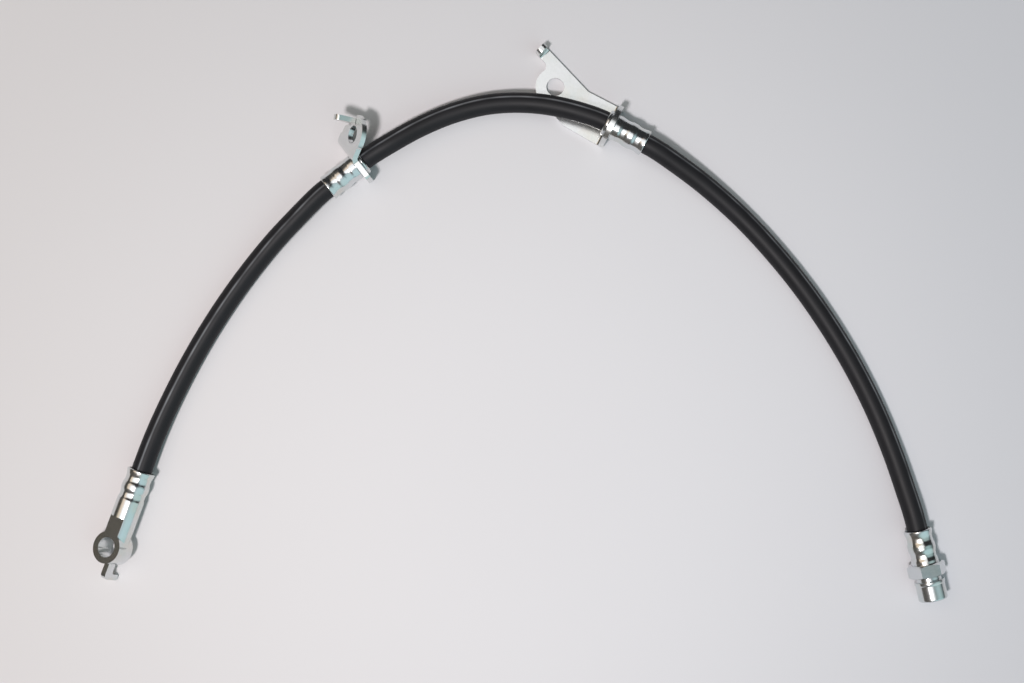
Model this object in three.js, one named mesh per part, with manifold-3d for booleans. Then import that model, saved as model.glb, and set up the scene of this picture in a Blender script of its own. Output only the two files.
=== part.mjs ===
// A car's brake hose: a black rubber hose with a banjo fitting at one end, a female
// fitting at the other, and two bracket collars crimped on along it. Millimetres, +Z up.
// It lies on a flat surface in the curve that it takes by itself. The origin is in the
// middle of its outline, on that surface.

import * as THREE from 'three';
import { mergeVertices } from 'three/addons/utils/BufferGeometryUtils.js';
import Module from 'manifold-3d';

const wasm = await Module();
wasm.setup();

// Fits
const WELD_REACH = 0.0001;      // corners this close are one corner
const FIT_GAP = 0.3;            // clearance between pieces that touch on the real hose
const ROUND_STEPS = 32;         // facets round a turned piece
const ARC_STEPS = 7;            // facets along a corner of a stamped plate
const PLATE_HOLE_STEPS = 14;    // half the facets round a hole in a stamped plate

// Hose
const HOSE_DIAMETER = 10.4;
const HOSE_BORE = 3.4;
const HOSE_SIDES = 12;
const HOSE_STEPS = 50;

// Crimped socket, shared by both end fittings. A crimp's diameter is measured across the
// corners that the jaws leave.
const SOCKET_CRIMPS = { mouth: 14.1, crimp: 13.3, bulge: 14.1, first: 4.9, second: 13.2 };
const SOCKET_DIAMETER = 13.8;
const SOCKET_BORE_DEPTH = 17.5;
const MOUTH_WALL = 0.8;
const MOUTH_LENGTH = 2.2;
const CRIMP_WIDTH = 2.6;
const CRIMP_RAMP = 1.3;
const JAWS = 8;
const BULGE_FLATNESS = 0.35;    // how far the jaws' flats carry on over the bulge

// Nipple, the tube that holds the hose open inside each socket
const NIPPLE_BORE = 1.8;
const NIPPLE_HEAD_DIAMETER = 7.2;
const NIPPLE_HEAD_LENGTH = 1.2;
const NIPPLE_SETBACK = 0.5;     // from the socket's mouth to the nipple's near end
const NIPPLE_TAIL = 4;
const PASSAGE_DIAMETER = 2.4;

// Banjo fitting
const EYE_FROM_MOUTH = 41.7;
const EYE_DIAMETER = 16.5;
const EYE_THICKNESS = 10.8;
const EYE_HOLE = 10.2;
const EYE_CHAMFER = 0.5;
const NECK_STEP = 25.5;         // from the mouth to the shoulder of the two flats
const HOOK_WIDTH = 2.8;
const HOOK_REACH = 16.5;        // from the eye's centre to the hook's outer face
const HOOK_STEM_DEPTH = 5.2;
const HOOK_TOE_THICKNESS = 3;
const HOOK_TOE_LENGTH = 10.4;   // from the stem's upper side to the toe's tip
const HOOK_TIP_CHAMFER = 0.6;
const HOOK_ROOT = 1;            // how far its stem starts outside the eye's hole
const BANJO_ROLL = THREE.MathUtils.degToRad(26);

// Female fitting
const HEX_ACROSS_FLATS = 17;
const HEX_START = 17.5;
const HEX_LENGTH = 6.7;
const HEX_CHAMFER = 0.9;
const HEX_OVERLAP = 1;          // how far its bore lies inside the turned body and past its ends
const CLIP_GROOVE_DIAMETER = 12.6;
const CLIP_GROOVE_WIDTH = 2.2;
const LIP_DIAMETER = 15.5;
const LIP_WIDTH = 1.9;
const PORT_DIAMETER = 14.8;
const PORT_END = 36.6;
const PORT_THREAD_BORE = 9.2;
const PORT_DEPTH = 11.5;
const PORT_MOUTH_CHAMFER = 0.8;
const PORT_EDGE_CHAMFER = 0.6;
const FLARE_SEAT_DIAMETER = 6.6;
const FLARE_SEAT_HEIGHT = 2.1;

// Bracket collars
const COLLAR_CRIMPS = { mouth: 13.4, crimp: 12.9, bulge: 13.5, first: 4.6, second: 12.6 };
const COLLAR_LENGTH = 18;
const COLLAR_SHOULDER_DIAMETER = 13.3;
const COLLAR_SHOULDER_LENGTH = 1.6;
const COLLAR_NECK_WALL = 0.8;
const COLLAR_LIP_DIAMETER = 14.2;
const COLLAR_LIP_LENGTH = 1.9;

// Stamped brackets
const PLATE_THICKNESS = 2.6;
const BEND_RADIUS = 1.5;        // inside radius of each bend, apart from the first tang's
const FIRST_ARM_DISTANCE = 7.6; // from the hose's middle to the arm's near face
const SECOND_ARM_DISTANCE = 8.6;
const FIRST_FLANGE_HALF_WIDTH = 9;
const BOLT_HOLE = 9.2;
const BOLT_LOBE_RADIUS = 10.2;
const TANG_CORNER = 2.2;
const TANG_ROOT = 1;              // how far a tang's strip reaches back into its arm

const HEX_RADIUS = HEX_ACROSS_FLATS / Math.sqrt(3);
const HOSE_CLEARANCE_BORE = HOSE_DIAMETER + 2 * FIT_GAP;
const NIPPLE_DIAMETER = HOSE_BORE - 2 * FIT_GAP;
// length of hose inside each end fitting, up to the nipple's head
const HOSE_INSERT = SOCKET_BORE_DEPTH - NIPPLE_HEAD_LENGTH - 2 * FIT_GAP;
const COLLAR_NECK_DIAMETER = HOSE_CLEARANCE_BORE + 2 * COLLAR_NECK_WALL;
const FLANGE_HOLE = COLLAR_NECK_DIAMETER + 2 * FIT_GAP;

// Where the fittings and brackets sit on the hose. Each direction points along the hose:
// from an end fitting's mouth to its far end, or from a collar to its bracket's arm.
const BANJO_MOUTH = new THREE.Vector3(-193.7, -75.55, 7.45);
const BANJO_DIRECTION = new THREE.Vector3(-0.341, -0.939, 0.045).normalize();
const FEMALE_MOUTH = new THREE.Vector3(202.1, -105.35, HEX_ACROSS_FLATS / 2);
const FEMALE_DIRECTION = new THREE.Vector3(0.226, -0.974, 0).normalize();
const FIRST_STATION = new THREE.Vector3(-82.0, 81.35, FIRST_FLANGE_HALF_WIDTH);
const FIRST_DIRECTION = new THREE.Vector3(0.79, 0.613, 0).normalize();
const FIRST_ROLL = THREE.MathUtils.degToRad(132);
const SECOND_STATION = new THREE.Vector3(44.9, 100.95, SECOND_ARM_DISTANCE + PLATE_THICKNESS);
const SECOND_DIRECTION = new THREE.Vector3(-0.879, 0.476, 0).normalize();

// Points that the hose's middle line passes between the fittings, chosen by hand
const LEFT_ARC = [
  [-191.7, -69.8, 7.1],
  [-187.5, -58.5, 6.3],
  [-180.2, -41.9, 5.5],
  [-169.1, -20.1, 5.3],
  [-156.7, 0.8, 5.3],
  [-142.9, 20.9, 5.4],
  [-127.6, 40.0, 6.2],
  [-115.0, 53.2, 8.0],
];
const TOP_SPAN = [
  [-67.4, 90.9, 10.0],
  [-51.5, 99.8, 9.2],
  [-34.7, 106.8, 8.8],
  [-16.9, 111.2, 8.8],
  [1.3, 112.1, 9.2],
  [19.4, 109.8, 10.2],
];
const RIGHT_ARC = [
  [79.5, 80.9, 9.4],
  [94.3, 70.1, 7.2],
  [112.6, 54.1, 5.6],
  [129.2, 36.4, 5.3],
  [144.4, 17.6, 5.3],
  [158.3, -2.5, 5.3],
  [170.7, -23.4, 5.3],
  [181.6, -45.3, 5.4],
  [190.7, -68.1, 6.2],
  [196.4, -85.5, 7.4],
  [199.8, -96.5, 8.3],
];
// How far before and after a bracket's station the hose runs straight
const STRAIGHT_BEFORE = [-26, -17];
const STRAIGHT_AFTER = [-3, 5];

const zincSteel = { color: 0xc9cccb, roughness: 0.28, metalness: 1 };
const darkSteel = { color: 0x8d9088, roughness: 0.35, metalness: 1 };
const blackRubber = { color: 0x1b1b1d, roughness: 0.6, metalness: 0 };

// Solids

function toSolid(geometry) {
  geometry.deleteAttribute('normal');
  geometry.deleteAttribute('uv');
  const merged = mergeVertices(geometry, 1e-4);
  const corners = merged.index.array;
  const kept = [];
  for (let i = 0; i < corners.length; i += 3) {
    const [a, b, c] = [corners[i], corners[i + 1], corners[i + 2]];
    if (a !== b && b !== c && c !== a) kept.push(a, b, c);
  }
  const mesh = new wasm.Mesh({
    numProp: 3,
    vertProperties: Float32Array.from(merged.attributes.position.array),
    triVerts: Uint32Array.from(kept),
  });
  return new wasm.Manifold(mesh);
}

function toGeometry(solid) {
  const mesh = solid.getMesh();
  const geometry = new THREE.BufferGeometry();
  geometry.setAttribute('position', new THREE.BufferAttribute(mesh.vertProperties, 3));
  geometry.setIndex(new THREE.BufferAttribute(mesh.triVerts, 1));
  return geometry;
}

// A right-handed set of axes: x along the hose, z as near to straight up as the roll leaves it
function hoseFrame(origin, direction, roll = 0) {
  const side = new THREE.Vector3(0, 0, 1).cross(direction).normalize();
  const up = direction.clone().cross(side);
  const frame = new THREE.Matrix4().makeBasis(direction, side, up).setPosition(origin);
  return frame.multiply(new THREE.Matrix4().makeRotationX(roll));
}

function placed(geometry, frame) {
  return geometry.applyMatrix4(frame);
}

function axesMatrix(x, y, z, origin) {
  return new THREE.Matrix4().makeBasis(x, y, z).setPosition(origin);
}

// Turned pieces: a closed profile of [distance along the axis, radius, flatness] turned
// about +X. Flatness 1 presses that ring into the eight flats of the crimping jaws.
function turned(profile, steps = ROUND_STEPS) {
  const ring = [...profile, profile[0]];
  const points = ring.map(([along, radius]) => new THREE.Vector2(radius, along));
  const geometry = new THREE.LatheGeometry(points, steps);
  const position = geometry.attributes.position;
  const jaw = 2 * Math.PI / JAWS;
  for (let i = 0; i < position.count; i++) {
    const flatness = ring[i % ring.length][2] ?? 0;
    const angle = Math.atan2(position.getX(i), position.getZ(i)) + 2 * Math.PI;
    const fromFlat = (angle % jaw) - jaw / 2;
    const pressed = Math.cos(jaw / 2) / Math.cos(fromFlat);
    const scale = 1 - flatness * (1 - pressed);
    position.setX(i, position.getX(i) * scale);
    position.setZ(i, position.getZ(i) * scale);
  }
  return geometry.rotateZ(-Math.PI / 2);
}

// Rings of two crimps and the bulge between them, from one plain radius to the next
function crimpRings({ crimp: crimpDiameter, bulge: bulgeDiameter, first, second }) {
  const crimp = crimpDiameter / 2;
  const bulge = bulgeDiameter / 2;
  const half = CRIMP_WIDTH / 2;
  return [
    [first - half, crimp, 1],
    [first + half, crimp, 1],
    [first + half + CRIMP_RAMP, bulge, BULGE_FLATNESS],
    [second - half - CRIMP_RAMP, bulge, BULGE_FLATNESS],
    [second - half, crimp, 1],
    [second + half, crimp, 1],
  ];
}

// The bell mouth that both sockets and collars start with, outside only
function mouthRings({ mouth }) {
  return [
    [0, (mouth - MOUTH_WALL) / 2],
    [MOUTH_WALL / 2, mouth / 2],
    [MOUTH_LENGTH, mouth / 2],
  ];
}

// The same mouth's inside, from the hose's bore out to the rim
function mouthBoreRings({ mouth }) {
  return [
    [MOUTH_LENGTH, HOSE_CLEARANCE_BORE / 2],
    [0, mouth / 2 - MOUTH_WALL],
  ];
}

function socketOutside() {
  return [
    ...mouthRings(SOCKET_CRIMPS),
    ...crimpRings(SOCKET_CRIMPS),
    [SOCKET_CRIMPS.second + (CRIMP_WIDTH + CRIMP_RAMP) / 2, SOCKET_DIAMETER / 2],
  ];
}

// The bore from the passage back to the mouth, with the pockets for hose and nipple
function socketBore() {
  const tailPocket = NIPPLE_DIAMETER / 2 + FIT_GAP;
  return [
    [SOCKET_BORE_DEPTH + NIPPLE_TAIL + FIT_GAP, PASSAGE_DIAMETER / 2],
    [SOCKET_BORE_DEPTH + NIPPLE_TAIL + FIT_GAP, tailPocket],
    [SOCKET_BORE_DEPTH, tailPocket],
    [SOCKET_BORE_DEPTH, HOSE_CLEARANCE_BORE / 2],
    ...mouthBoreRings(SOCKET_CRIMPS),
  ];
}

// A hose end's nipple: thin tube in the hose, head against the socket's floor, tail in
// the fitting's passage
function nippleGeometry(frame) {
  const outer = NIPPLE_DIAMETER / 2;
  const bore = NIPPLE_BORE / 2;
  const headStart = HOSE_INSERT + FIT_GAP;
  const headEnd = headStart + NIPPLE_HEAD_LENGTH;
  return placed(turned([
    [NIPPLE_SETBACK, bore],
    [NIPPLE_SETBACK, outer],
    [headStart, outer],
    [headStart, NIPPLE_HEAD_DIAMETER / 2],
    [headEnd, NIPPLE_HEAD_DIAMETER / 2],
    [headEnd, outer],
    [headEnd + NIPPLE_TAIL, outer],
    [headEnd + NIPPLE_TAIL, bore],
  ], ROUND_STEPS / 2), frame);
}

// Banjo fitting

// The shank: socket, then a round neck that the two flats are cut from
function banjoShank() {
  const neck = toSolid(turned([
    ...socketOutside(),
    [EYE_FROM_MOUTH, SOCKET_DIAMETER / 2],
    [EYE_FROM_MOUTH, PASSAGE_DIAMETER / 2],
    ...socketBore(),
  ]));
  const flatCut = SOCKET_DIAMETER;
  const cutLength = EYE_FROM_MOUTH - NECK_STEP + FIT_GAP;
  const cuts = [1, -1].map((side) => {
    const box = new THREE.BoxGeometry(cutLength, 2 * SOCKET_DIAMETER, flatCut);
    box.translate(NECK_STEP + cutLength / 2, 0, side * (EYE_THICKNESS + flatCut) / 2);
    return box;
  });
  return cuts.reduce((rest, cut) => rest.subtract(toSolid(cut)), neck);
}

function eyeDisc() {
  const half = EYE_THICKNESS / 2;
  const radius = EYE_DIAMETER / 2;
  const points = [
    [0, -half], [radius - EYE_CHAMFER, -half], [radius, -half + EYE_CHAMFER],
    [radius, half - EYE_CHAMFER], [radius - EYE_CHAMFER, half], [0, half],
  ].map(([r, z]) => new THREE.Vector2(r, z));
  const disc = new THREE.LatheGeometry(points, ROUND_STEPS + ROUND_STEPS / 2);
  return disc.rotateX(Math.PI / 2).translate(EYE_FROM_MOUTH, 0, 0);
}

function eyeHole() {
  const half = EYE_THICKNESS / 2;
  const radius = EYE_HOLE / 2;
  const past = half + EYE_CHAMFER;
  const points = [
    [0, -past], [radius + 2 * EYE_CHAMFER, -past], [radius, -half + EYE_CHAMFER],
    [radius, half - EYE_CHAMFER], [radius + 2 * EYE_CHAMFER, past], [0, past],
  ].map(([r, z]) => new THREE.Vector2(r, z));
  const hole = new THREE.LatheGeometry(points, ROUND_STEPS);
  return hole.rotateX(Math.PI / 2).translate(EYE_FROM_MOUTH, 0, 0);
}

// The hook that stops the eye from turning: a stem off the rim, level with the eye's
// lower half, and a toe that turns down past the lower face
function hook() {
  const inner = HOOK_REACH - HOOK_TOE_THICKNESS;
  const root = EYE_HOLE / 2 + HOOK_ROOT;
  const outline = new THREE.Shape();
  outline.moveTo(root, -HOOK_STEM_DEPTH);
  outline.lineTo(inner - BEND_RADIUS, -HOOK_STEM_DEPTH);
  outline.absarc(
    inner - BEND_RADIUS, -HOOK_STEM_DEPTH - BEND_RADIUS, BEND_RADIUS, Math.PI / 2, 0, true,
  );
  outline.lineTo(inner, HOOK_TIP_CHAMFER - HOOK_TOE_LENGTH);
  outline.lineTo(inner + HOOK_TIP_CHAMFER, -HOOK_TOE_LENGTH);
  outline.lineTo(HOOK_REACH - HOOK_TIP_CHAMFER, -HOOK_TOE_LENGTH);
  outline.lineTo(HOOK_REACH, HOOK_TIP_CHAMFER - HOOK_TOE_LENGTH);
  outline.lineTo(HOOK_REACH, -HOOK_TOE_THICKNESS);
  outline.absarc(inner, -HOOK_TOE_THICKNESS, HOOK_TOE_THICKNESS, 0, Math.PI / 2, false);
  outline.lineTo(root, 0);
  const bar = new THREE.ExtrudeGeometry(outline, {
    depth: HOOK_WIDTH, bevelEnabled: false, curveSegments: ARC_STEPS,
  });
  return bar.rotateX(Math.PI / 2).translate(EYE_FROM_MOUTH, HOOK_WIDTH / 2, 0);
}

function banjoFitting(frame) {
  const passage = turned([
    [NECK_STEP, 0], [EYE_FROM_MOUTH, 0],
    [EYE_FROM_MOUTH, PASSAGE_DIAMETER / 2], [NECK_STEP, PASSAGE_DIAMETER / 2],
  ].reverse(), ROUND_STEPS / 2);
  const whole = banjoShank()
    .add(toSolid(eyeDisc()))
    .add(toSolid(hook()))
    .subtract(toSolid(eyeHole()))
    .subtract(toSolid(passage));
  return placed(toGeometry(whole), frame);
}

// Female fitting

// The hexagon's corners are turned off at both ends, as on a nut
function chamferedHex() {
  const outline = new THREE.Shape();
  for (let corner = 0; corner < 6; corner++) {
    const angle = corner * Math.PI / 3;
    const point = [HEX_RADIUS * Math.cos(angle), HEX_RADIUS * Math.sin(angle)];
    if (corner === 0) outline.moveTo(...point);
    else outline.lineTo(...point);
  }
  const prism = new THREE.ExtrudeGeometry(outline, { depth: HEX_LENGTH, bevelEnabled: false });
  const along = axesMatrix(
    new THREE.Vector3(0, 1, 0), new THREE.Vector3(0, 0, 1), new THREE.Vector3(1, 0, 0),
    new THREE.Vector3(HEX_START, 0, 0),
  );
  const faceRadius = HEX_RADIUS - HEX_CHAMFER * Math.sqrt(3);
  const envelope = turned([
    [HEX_START, 0], [HEX_START, faceRadius], [HEX_START + HEX_CHAMFER, HEX_RADIUS],
    [HEX_START + HEX_LENGTH - HEX_CHAMFER, HEX_RADIUS],
    [HEX_START + HEX_LENGTH, faceRadius], [HEX_START + HEX_LENGTH, 0],
  ], ROUND_STEPS + 4);
  return toSolid(placed(prism, along)).intersect(toSolid(envelope));
}

function femaleBody() {
  const socket = SOCKET_DIAMETER / 2;
  const groove = CLIP_GROOVE_DIAMETER / 2;
  const lip = LIP_DIAMETER / 2;
  const port = PORT_DIAMETER / 2;
  const thread = PORT_THREAD_BORE / 2;
  const hexEnd = HEX_START + HEX_LENGTH;
  const lipStart = hexEnd + CLIP_GROOVE_WIDTH;
  const lipEnd = lipStart + LIP_WIDTH;
  const portFloor = PORT_END - PORT_DEPTH;
  return turned([
    ...socketOutside(),
    [HEX_START + HEX_LENGTH / 2, socket],
    [HEX_START + HEX_LENGTH / 2, groove],
    [lipStart, groove],
    [lipStart, lip],
    [lipEnd - (lip - port), lip],
    [lipEnd, port],
    [PORT_END - PORT_EDGE_CHAMFER, port],
    [PORT_END, port - PORT_EDGE_CHAMFER],
    [PORT_END, thread + PORT_MOUTH_CHAMFER],
    [PORT_END - PORT_MOUTH_CHAMFER, thread],
    [portFloor, thread],
    [portFloor, FLARE_SEAT_DIAMETER / 2],
    [portFloor + FLARE_SEAT_HEIGHT, PASSAGE_DIAMETER / 2],
    ...socketBore(),
  ]);
}

function femaleFitting(frame) {
  const inside = CLIP_GROOVE_DIAMETER / 2 - HEX_OVERLAP;
  const hexBore = turned([
    [HEX_START - HEX_OVERLAP, 0],
    [HEX_START - HEX_OVERLAP, inside],
    [HEX_START + HEX_LENGTH + HEX_OVERLAP, inside],
    [HEX_START + HEX_LENGTH + HEX_OVERLAP, 0],
  ]);
  const hex = chamferedHex().subtract(toSolid(hexBore));
  return placed(toGeometry(toSolid(femaleBody()).add(hex)), frame);
}

// Bracket collars

// The collar: mouth and crimps on the hose, a shoulder against the bracket, a neck
// through it, and a lip rolled over on the arm's side. x = 0 is the arm's side face.
function collarGeometry(frame) {
  const far = -(PLATE_THICKNESS + FIT_GAP + COLLAR_LENGTH);
  const shoulderFace = -(PLATE_THICKNESS + FIT_GAP);
  const shoulder = COLLAR_SHOULDER_DIAMETER / 2;
  const neck = COLLAR_NECK_DIAMETER / 2;
  const lip = COLLAR_LIP_DIAMETER / 2;
  const bore = HOSE_CLEARANCE_BORE / 2;
  const roll = COLLAR_LIP_LENGTH / 3;
  const fromMouth = ([along, radius, flatness]) => [far + along, radius, flatness];
  return placed(turned([
    ...mouthRings(COLLAR_CRIMPS).map(fromMouth),
    ...crimpRings(COLLAR_CRIMPS).map(fromMouth),
    [shoulderFace - COLLAR_SHOULDER_LENGTH, shoulder],
    [shoulderFace, shoulder],
    [shoulderFace, neck],
    [FIT_GAP, neck],
    [FIT_GAP, lip - roll],
    [FIT_GAP + roll, lip],
    [FIT_GAP + COLLAR_LIP_LENGTH - roll, lip - roll],
    [FIT_GAP + COLLAR_LIP_LENGTH, bore + roll],
    [FIT_GAP + COLLAR_LIP_LENGTH, bore],
    ...mouthBoreRings(COLLAR_CRIMPS).map(fromMouth),
  ]), frame);
}

// Stamped brackets
// In a bracket's own frame the hose runs along x through the flange, which stands between
// x = -thickness and x = 0. The plate then bends about a line along y into the arm. In the
// arm's plane, s runs away from the bend and y along it.

// The arm's directions where the bend ends, and the middle line that the bend turns about
function bendGeometry(angle, armDistance) {
  const turn = Math.PI + angle;
  const outwards = new THREE.Vector3(Math.cos(turn), 0, Math.sin(turn));
  const along = new THREE.Vector3(-Math.sin(turn), 0, Math.cos(turn));
  const height = BEND_RADIUS * Math.tan(angle / 2) - armDistance;
  const centre = new THREE.Vector3(BEND_RADIUS, 0, height);
  return { turn, outwards, along, centre };
}

function armMatrix(bend) {
  const y = new THREE.Vector3(0, 1, 0);
  const inwards = bend.outwards.clone().negate();
  const origin = bend.centre.clone().addScaledVector(bend.outwards, BEND_RADIUS + PLATE_THICKNESS);
  return axesMatrix(bend.along, y, inwards, origin);
}

function plate(outline) {
  return new THREE.ExtrudeGeometry(outline, {
    depth: PLATE_THICKNESS, bevelEnabled: false, curveSegments: PLATE_HOLE_STEPS,
  });
}

function bendSector(bend, low, high) {
  const outline = new THREE.Shape();
  const [x, z] = [bend.centre.x, bend.centre.z];
  outline.absarc(x, z, BEND_RADIUS + PLATE_THICKNESS, Math.PI, bend.turn, false);
  outline.absarc(x, z, BEND_RADIUS, bend.turn, Math.PI, true);
  const sector = new THREE.ExtrudeGeometry(outline, {
    depth: high - low, bevelEnabled: false, curveSegments: ARC_STEPS,
  });
  return sector.rotateX(Math.PI / 2).translate(0, high, 0);
}

// A tang bent square off the arm's edge between two points, with a rounded tip.
// Side 1 turns it to the hose's side of the arm, side -1 to the other.
function tang(from, to, height, radius, side) {
  const line = new THREE.Vector2().subVectors(to, from);
  const width = line.length();
  line.divideScalar(width);
  const outside = radius + PLATE_THICKNESS;
  const profile = new THREE.Shape();
  profile.moveTo(-TANG_ROOT, 0);
  profile.absarc(0, outside, outside, -Math.PI / 2, 0, false);
  profile.lineTo(outside, height);
  profile.lineTo(radius, height);
  profile.absarc(0, outside, radius, 0, -Math.PI / 2, true);
  profile.lineTo(-TANG_ROOT, PLATE_THICKNESS);
  const strip = new THREE.ExtrudeGeometry(profile, {
    depth: width, bevelEnabled: false, curveSegments: ARC_STEPS,
  });
  const shape = toSolid(strip).intersect(toSolid(tangFace(width, height, outside)));
  // strip axes: x outwards from the edge, y up off the plate, z along the bend line
  const outwards = new THREE.Vector3(line.y, -line.x, 0);
  const up = new THREE.Vector3(0, 0, side);
  const along = new THREE.Vector3(-line.x, -line.y, 0).multiplyScalar(side);
  const start = side > 0 ? to : from;
  const base = new THREE.Vector3(start.x, start.y, side > 0 ? 0 : PLATE_THICKNESS);
  return toSolid(placed(toGeometry(shape), axesMatrix(outwards, up, along, base)));
}

// The tang seen square on, as a block through the whole strip that rounds its tip
function tangFace(width, height, outside) {
  const outline = new THREE.Shape();
  const corner = height - TANG_CORNER;
  outline.moveTo(0, -TANG_ROOT);
  outline.lineTo(width, -TANG_ROOT);
  outline.lineTo(width, corner);
  outline.absarc(width - TANG_CORNER, corner, TANG_CORNER, 0, Math.PI / 2, false);
  outline.absarc(TANG_CORNER, corner, TANG_CORNER, Math.PI / 2, Math.PI, false);
  const block = new THREE.ExtrudeGeometry(outline, {
    depth: outside + 3 * TANG_ROOT, bevelEnabled: false, curveSegments: ARC_STEPS,
  });
  return placed(block, axesMatrix(
    new THREE.Vector3(0, 0, 1), new THREE.Vector3(0, 1, 0), new THREE.Vector3(-1, 0, 0),
    new THREE.Vector3(outside + TANG_ROOT, 0, 0),
  ));
}

// Puts each corner that lies on a corner of the neighbour at exactly that place, so that
// the two weld into one solid whatever their sizes are
function weldedTo(neighbour, geometry) {
  const position = geometry.attributes.position;
  const corner = new THREE.Vector3();
  const target = new THREE.Vector3();
  for (let i = 0; i < position.count; i++) {
    corner.fromBufferAttribute(position, i);
    for (let j = 0; j < neighbour.attributes.position.count; j++) {
      target.fromBufferAttribute(neighbour.attributes.position, j);
      if (corner.distanceTo(target) < WELD_REACH) position.setXYZ(i, target.x, target.y, target.z);
    }
  }
  return geometry;
}

// A full circle bolt hole as a path to leave out of an outline
function boltHole(s, y) {
  const hole = new THREE.Path();
  hole.absarc(s, y, BOLT_HOLE / 2, 0, 2 * Math.PI, true);
  return hole;
}

function bracket(spec, frame) {
  const bend = bendGeometry(spec.bendAngle, spec.armDistance);
  const flange = spec.flange(bend.centre.z);
  const flangeHole = new THREE.Path();
  flangeHole.absarc(0, 0, FLANGE_HOLE / 2, 0, 2 * Math.PI, true);
  flange.holes.push(flangeHole);
  const flangeAxes = axesMatrix(
    new THREE.Vector3(0, 1, 0), new THREE.Vector3(0, 0, 1), new THREE.Vector3(1, 0, 0),
    new THREE.Vector3(-PLATE_THICKNESS, 0, 0),
  );
  const arm = spec.arm();
  arm.holes.push(boltHole(spec.hole.x, spec.hole.y));
  const inArm = toSolid(plate(arm)).add(tang(...spec.tang));
  const sector = bendSector(bend, spec.bendLow, spec.bendHigh);
  const flangePlate = weldedTo(sector, placed(plate(flange), flangeAxes));
  const armPlate = weldedTo(sector, placed(toGeometry(inArm), armMatrix(bend)));
  const whole = toSolid(flangePlate).add(toSolid(sector)).add(toSolid(armPlate));
  return placed(toGeometry(whole), frame);
}

// First bracket: a short arm bent half over, with its tang turned away from the hose. It
// rests on one straight side of its flange, which is a tongue with rounded corners. The
// tongue points along FIRST_TONGUE in the flange's plane, level with the ground.
const FIRST_LOW = -15;
const FIRST_HIGH = 7.2;
const FIRST_TONGUE = Math.PI - FIRST_ROLL;
const FIRST_TONGUE_LENGTH = 10.3;
const FIRST_TONGUE_CORNER = 3;
const FIRST_HOLE = new THREE.Vector2(8.3, -2.0);
const FIRST_TANG_FROM = new THREE.Vector2(10.9, -7.6);
const FIRST_TANG_TO = new THREE.Vector2(13.3, -2.9);
const FIRST_TANG_HEIGHT = 13.3;
const FIRST_TANG_RADIUS = 0.8;
const FIRST_RELIEF = new THREE.Vector2(13.5, -2.6); // inner end of the cut beside the tang
const FIRST_LOBE_START = new THREE.Vector2(18.1, -5.0);
// Its notched edge from the bend to the tang: [s, y] of each corner and bend point
const FIRST_EDGE = {
  start: [1.6, FIRST_LOW], corner: [3.6, FIRST_LOW], step: [4.2, -13.4],
  shelf: [7.0, -13.2], turn: [8.8, -12.8], end: [9.4, -11.2],
};
const FIRST_LOBE_END = 0.61 * Math.PI;
const FIRST_BEND = THREE.MathUtils.degToRad(54.6);

function firstFlange(bendHeight) {
  const onTongue = (along, across) => [
    along * Math.cos(FIRST_TONGUE) - across * Math.sin(FIRST_TONGUE),
    along * Math.sin(FIRST_TONGUE) + across * Math.cos(FIRST_TONGUE),
  ];
  const half = FIRST_FLANGE_HALF_WIDTH;
  const tip = FIRST_TONGUE_LENGTH;
  const corner = FIRST_TONGUE_CORNER;
  const outline = new THREE.Shape();
  outline.moveTo(FIRST_LOW, bendHeight);
  outline.lineTo(FIRST_HIGH, bendHeight);
  outline.lineTo(...onTongue(0, -half));
  outline.lineTo(...onTongue(tip - corner, -half));
  outline.quadraticCurveTo(...onTongue(tip, -half), ...onTongue(tip, corner - half));
  outline.lineTo(...onTongue(tip, half - corner));
  outline.quadraticCurveTo(...onTongue(tip, half), ...onTongue(tip - corner, half));
  outline.lineTo(...onTongue(0, half));
  return outline;
}

function firstArm() {
  const outline = new THREE.Shape();
  const fromHole = FIRST_LOBE_START.clone().sub(FIRST_HOLE);
  outline.moveTo(0, FIRST_LOW);
  outline.lineTo(...FIRST_EDGE.start);
  outline.quadraticCurveTo(...FIRST_EDGE.corner, ...FIRST_EDGE.step);
  outline.lineTo(...FIRST_EDGE.shelf);
  outline.quadraticCurveTo(...FIRST_EDGE.turn, ...FIRST_EDGE.end);
  outline.lineTo(FIRST_TANG_FROM.x, FIRST_TANG_FROM.y);
  outline.lineTo(FIRST_TANG_TO.x, FIRST_TANG_TO.y);
  outline.lineTo(FIRST_RELIEF.x, FIRST_RELIEF.y);
  outline.absarc(
    FIRST_HOLE.x, FIRST_HOLE.y, BOLT_LOBE_RADIUS, fromHole.angle() - 2 * Math.PI,
    FIRST_LOBE_END, false,
  );
  outline.lineTo(0, FIRST_HIGH);
  return outline;
}

const firstBracket = {
  bendAngle: FIRST_BEND,
  armDistance: FIRST_ARM_DISTANCE,
  bendLow: FIRST_LOW,
  bendHigh: FIRST_HIGH,
  hole: FIRST_HOLE,
  tang: [FIRST_TANG_FROM, FIRST_TANG_TO, FIRST_TANG_HEIGHT, FIRST_TANG_RADIUS, -1],
  flange: firstFlange,
  arm: firstArm,
};

// Second bracket: a long arm bent square, flat under the hose, its tang turned up
const SECOND_HALF_WIDTH = 11;
const SECOND_HOLE = new THREE.Vector2(32.1, -4.9);
const SECOND_TANG_FROM = new THREE.Vector2(43.5, -19.7);
const SECOND_TANG_TO = new THREE.Vector2(45.2, -14.1);
const SECOND_TANG_HEIGHT = 10.5;
// Corners of its two straight edges, and of the notch between tang and bolt lobe
const SECOND_TANG_SIDE_KINK = new THREE.Vector2(16, -10.7);
const SECOND_FREE_SIDE_KINK = new THREE.Vector2(19, 10.6);
const SECOND_NOTCH = new THREE.Vector2(42.9, -13.4);
const SECOND_NOTCH_BEND = new THREE.Vector2(41.2, -12.7);
const SECOND_LOBE_START = -Math.PI / 6;
const SECOND_LOBE_END = 0.41 * Math.PI;

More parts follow.
